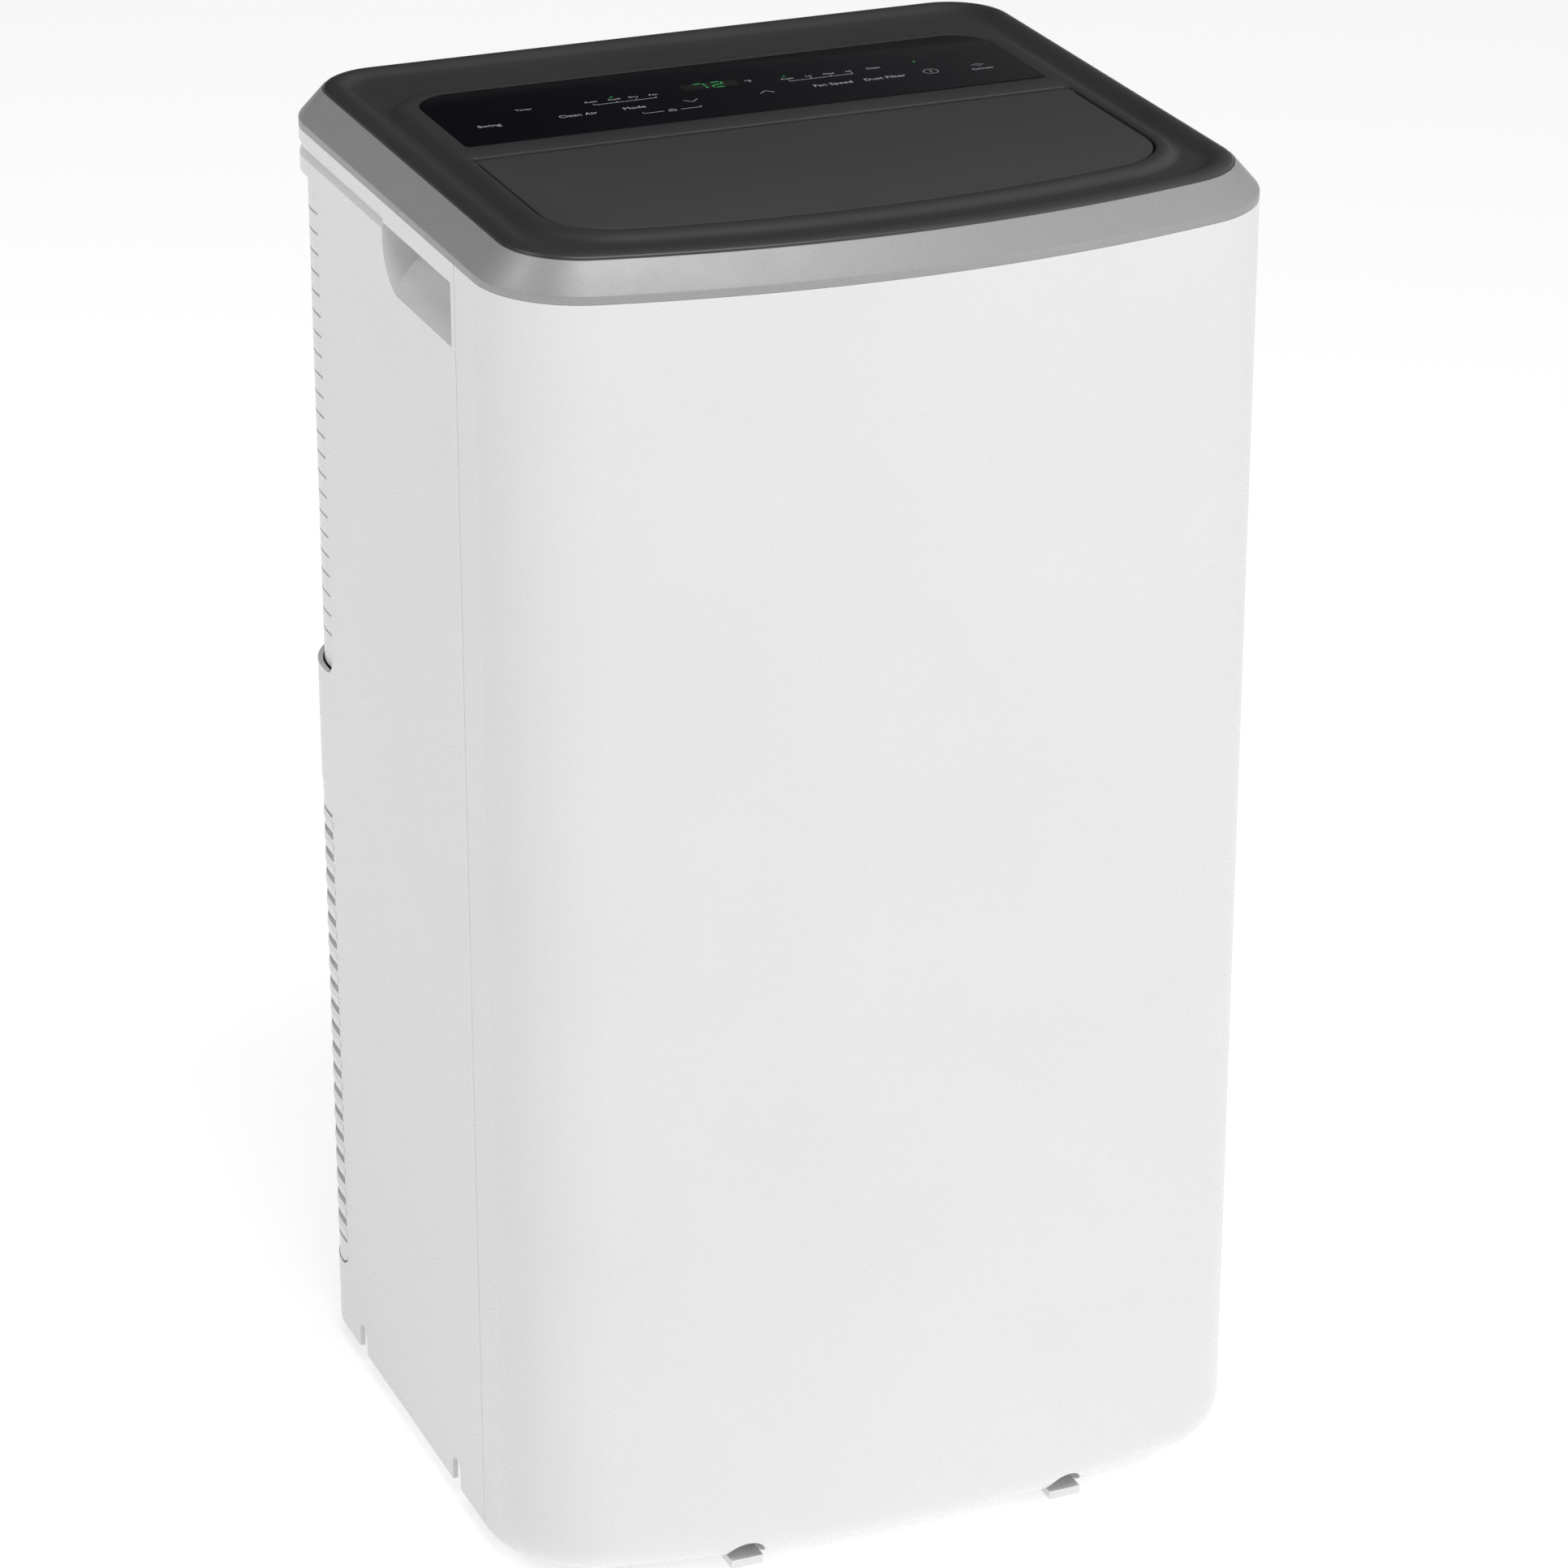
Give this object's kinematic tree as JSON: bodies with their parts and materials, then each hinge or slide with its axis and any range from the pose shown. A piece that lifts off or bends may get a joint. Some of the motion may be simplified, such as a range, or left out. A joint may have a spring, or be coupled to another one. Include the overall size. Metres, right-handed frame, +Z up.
{
  "type": "portable air conditioner",
  "caption": "Floor-standing portable air conditioner: white tower shell, silver bezel, dark top with touch panel and lifting outlet flap, rear intakes, exhaust collar, casters.",
  "frame": {"origin": "on the floor, under the centre of the cabinet", "axes": "+Z up, -Y out of the front cover, +X to the right seen from the front"},
  "size_m": [0.44, 0.409, 0.786],
  "materials": {
    "shell_white": "satin",
    "screw_steel": "satin",
    "bezel_silver": "satin",
    "deck_charcoal": "satin",
    "flap_grey": "matte",
    "panel_glass": "gloss",
    "circuit_green": "matte",
    "display_dark": "gloss",
    "inner_black": "matte",
    "motor_steel": "satin",
    "filter_grey": "matte",
    "inner_grey": "matte",
    "rubber_grey": "matte",
    "rubber_black": "matte",
    "compressor_black": "gloss",
    "copper_pipe": "satin",
    "coil_aluminium": "satin",
    "wheel_black": "matte",
    "foam_white": "matte",
    "box_steel": "satin",
    "caster_fork": "satin",
    "caster_tyre": "matte"
  },
  "bodies": {
    "cabinet": {"front_cover": "shell_white", "left_side_panel": "shell_white", "right_side_panel": "shell_white", "rear_panel": "shell_white", "rear_screws": "screw_steel", "bezel_ring": "bezel_silver", "top_deck": "deck_charcoal", "control_glass": "panel_glass", "control_board": "circuit_green", "display_module": "display_dark", "outlet_frame": "inner_black", "swing_motor": "motor_steel", "intake_frame": "shell_white", "exhaust_collar": "shell_white", "drain_spouts": "inner_grey", "cord_gland": "rubber_black", "base_tray": "shell_white", "compressor": "compressor_black", "compressor_grommets": "rubber_black", "accumulator": "copper_pipe", "condenser_coil": "coil_aluminium", "fan_case": "inner_grey", "condenser_motor": "motor_steel", "splash_motor": "motor_steel", "drip_pan": "inner_grey", "evaporator_coil": "coil_aluminium", "coil_stand": "inner_grey", "blower_housing": "foam_white", "blower_stand": "inner_grey", "evaporator_motor": "motor_steel", "control_box": "box_steel", "capacitor": "box_steel", "discharge_pipe": "copper_pipe", "suction_pipe": "copper_pipe", "liquid_pipe": "copper_pipe", "float_switch": "inner_grey"},
    "flap": {"outlet_flap": "flap_grey"},
    "link": {"link_bar": "inner_black"},
    "upper_intake": {"filter_panel": "shell_white", "dust_filter": "filter_grey"},
    "lower_intake": {"lower_grille": "shell_white"},
    "lower_plug": {"lower_drain_plug": "rubber_grey"},
    "upper_plug": {"upper_drain_plug": "rubber_grey"},
    "condenser_fan": {"condenser_wheel": "wheel_black"},
    "splash": {"splash_wheel": "inner_grey"},
    "evaporator_fan": {"evaporator_wheel": "wheel_black"},
    "vane_body_1": {"vane_1": "inner_black"},
    "vane_body_2": {"vane_2": "inner_black"},
    "vane_body_3": {"vane_3": "inner_black"},
    "vane_body_4": {"vane_4": "inner_black"},
    "vane_body_5": {"vane_5": "inner_black"},
    "vane_body_6": {"vane_6": "inner_black"},
    "caster_front_left": {"caster_fork_front_left": "caster_fork"},
    "wheel_front_left": {"caster_wheel_front_left": "caster_tyre"},
    "caster_front_right": {"caster_fork_front_right": "caster_fork"},
    "wheel_front_right": {"caster_wheel_front_right": "caster_tyre"},
    "caster_rear_left": {"caster_fork_rear_left": "caster_fork"},
    "wheel_rear_left": {"caster_wheel_rear_left": "caster_tyre"},
    "caster_rear_right": {"caster_fork_rear_right": "caster_fork"},
    "wheel_rear_right": {"caster_wheel_rear_right": "caster_tyre"}
  },
  "joints": [
    {"name": "flap_hinge", "type": "hinge", "parent": "cabinet", "child": "flap", "pos_m": [0, -0.001, 0.783], "axis": [-1, 0, 0], "range_deg": [0, 65]},
    {"name": "upper_intake_pull", "type": "slide", "parent": "cabinet", "child": "upper_intake", "axis": [0, 1, 0], "range_m": [0, 0.09]},
    {"name": "lower_intake_pull", "type": "slide", "parent": "cabinet", "child": "lower_intake", "axis": [0, 1, 0], "range_m": [0, 0.07]},
    {"name": "lower_plug_pull", "type": "slide", "parent": "cabinet", "child": "lower_plug", "axis": [0, 1, 0], "range_m": [0, 0.035]},
    {"name": "upper_plug_pull", "type": "slide", "parent": "cabinet", "child": "upper_plug", "axis": [0, 1, 0], "range_m": [0, 0.035]},
    {"name": "evaporator_fan_spin", "type": "hinge", "parent": "cabinet", "child": "evaporator_fan", "pos_m": [0, -0.092, 0.56], "axis": [0, 1, 0], "continuous": true},
    {"name": "condenser_fan_spin", "type": "hinge", "parent": "cabinet", "child": "condenser_fan", "pos_m": [0.066, 0.065, 0.25], "axis": [0, 1, 0], "continuous": true},
    {"name": "splash_spin", "type": "hinge", "parent": "cabinet", "child": "splash", "pos_m": [0.022, 0.107, 0.094], "axis": [0, 1, 0], "continuous": true},
    {"name": "vane_1_swing", "type": "hinge", "parent": "cabinet", "child": "vane_body_1", "pos_m": [-0.125, -0.06, 0.752], "axis": [0, 1, 0], "range_deg": [-30, 30]},
    {"name": "vane_2_swing", "type": "hinge", "parent": "cabinet", "child": "vane_body_2", "pos_m": [-0.075, -0.06, 0.752], "axis": [0, 1, 0], "range_deg": [-30, 30]},
    {"name": "vane_3_swing", "type": "hinge", "parent": "cabinet", "child": "vane_body_3", "pos_m": [-0.025, -0.06, 0.752], "axis": [0, 1, 0], "range_deg": [-30, 30]},
    {"name": "vane_4_swing", "type": "hinge", "parent": "cabinet", "child": "vane_body_4", "pos_m": [0.025, -0.06, 0.752], "axis": [0, 1, 0], "range_deg": [-30, 30]},
    {"name": "vane_5_swing", "type": "hinge", "parent": "cabinet", "child": "vane_body_5", "pos_m": [0.075, -0.06, 0.752], "axis": [0, 1, 0], "range_deg": [-30, 30]},
    {"name": "vane_6_swing", "type": "hinge", "parent": "cabinet", "child": "vane_body_6", "pos_m": [0.125, -0.06, 0.752], "axis": [0, 1, 0], "range_deg": [-30, 30]},
    {"name": "link_slide", "type": "slide", "parent": "cabinet", "child": "link", "axis": [-1, 0, 0], "range_m": [-0.0075, 0.0075]},
    {"name": "caster_swivel_front_left", "type": "hinge", "parent": "cabinet", "child": "caster_front_left", "pos_m": [-0.15, -0.114, 0.045], "axis": [0, 0, 1], "continuous": true},
    {"name": "wheel_spin_front_left", "type": "hinge", "parent": "caster_front_left", "child": "wheel_front_left", "pos_m": [-0.15, -0.1, 0.02], "axis": [1, 0, 0], "continuous": true},
    {"name": "caster_swivel_front_right", "type": "hinge", "parent": "cabinet", "child": "caster_front_right", "pos_m": [0.15, -0.114, 0.045], "axis": [0, 0, 1], "continuous": true},
    {"name": "wheel_spin_front_right", "type": "hinge", "parent": "caster_front_right", "child": "wheel_front_right", "pos_m": [0.15, -0.1, 0.02], "axis": [1, 0, 0], "continuous": true},
    {"name": "caster_swivel_rear_left", "type": "hinge", "parent": "cabinet", "child": "caster_rear_left", "pos_m": [-0.15, 0.13, 0.045], "axis": [0, 0, 1], "continuous": true},
    {"name": "wheel_spin_rear_left", "type": "hinge", "parent": "caster_rear_left", "child": "wheel_rear_left", "pos_m": [-0.15, 0.144, 0.02], "axis": [1, 0, 0], "continuous": true},
    {"name": "caster_swivel_rear_right", "type": "hinge", "parent": "cabinet", "child": "caster_rear_right", "pos_m": [0.15, 0.13, 0.045], "axis": [0, 0, 1], "continuous": true},
    {"name": "wheel_spin_rear_right", "type": "hinge", "parent": "caster_rear_right", "child": "wheel_rear_right", "pos_m": [0.15, 0.144, 0.02], "axis": [1, 0, 0], "continuous": true}
  ],
  "couplings": [
    {"joint": "vane_2_swing", "follows": "vane_1_swing", "ratio": 1},
    {"joint": "vane_3_swing", "follows": "vane_1_swing", "ratio": 1},
    {"joint": "vane_4_swing", "follows": "vane_1_swing", "ratio": 1},
    {"joint": "vane_5_swing", "follows": "vane_1_swing", "ratio": 1},
    {"joint": "vane_6_swing", "follows": "vane_1_swing", "ratio": 1},
    {"joint": "link_slide", "follows": "vane_1_swing", "m_per_rad": 0.014}
  ]
}
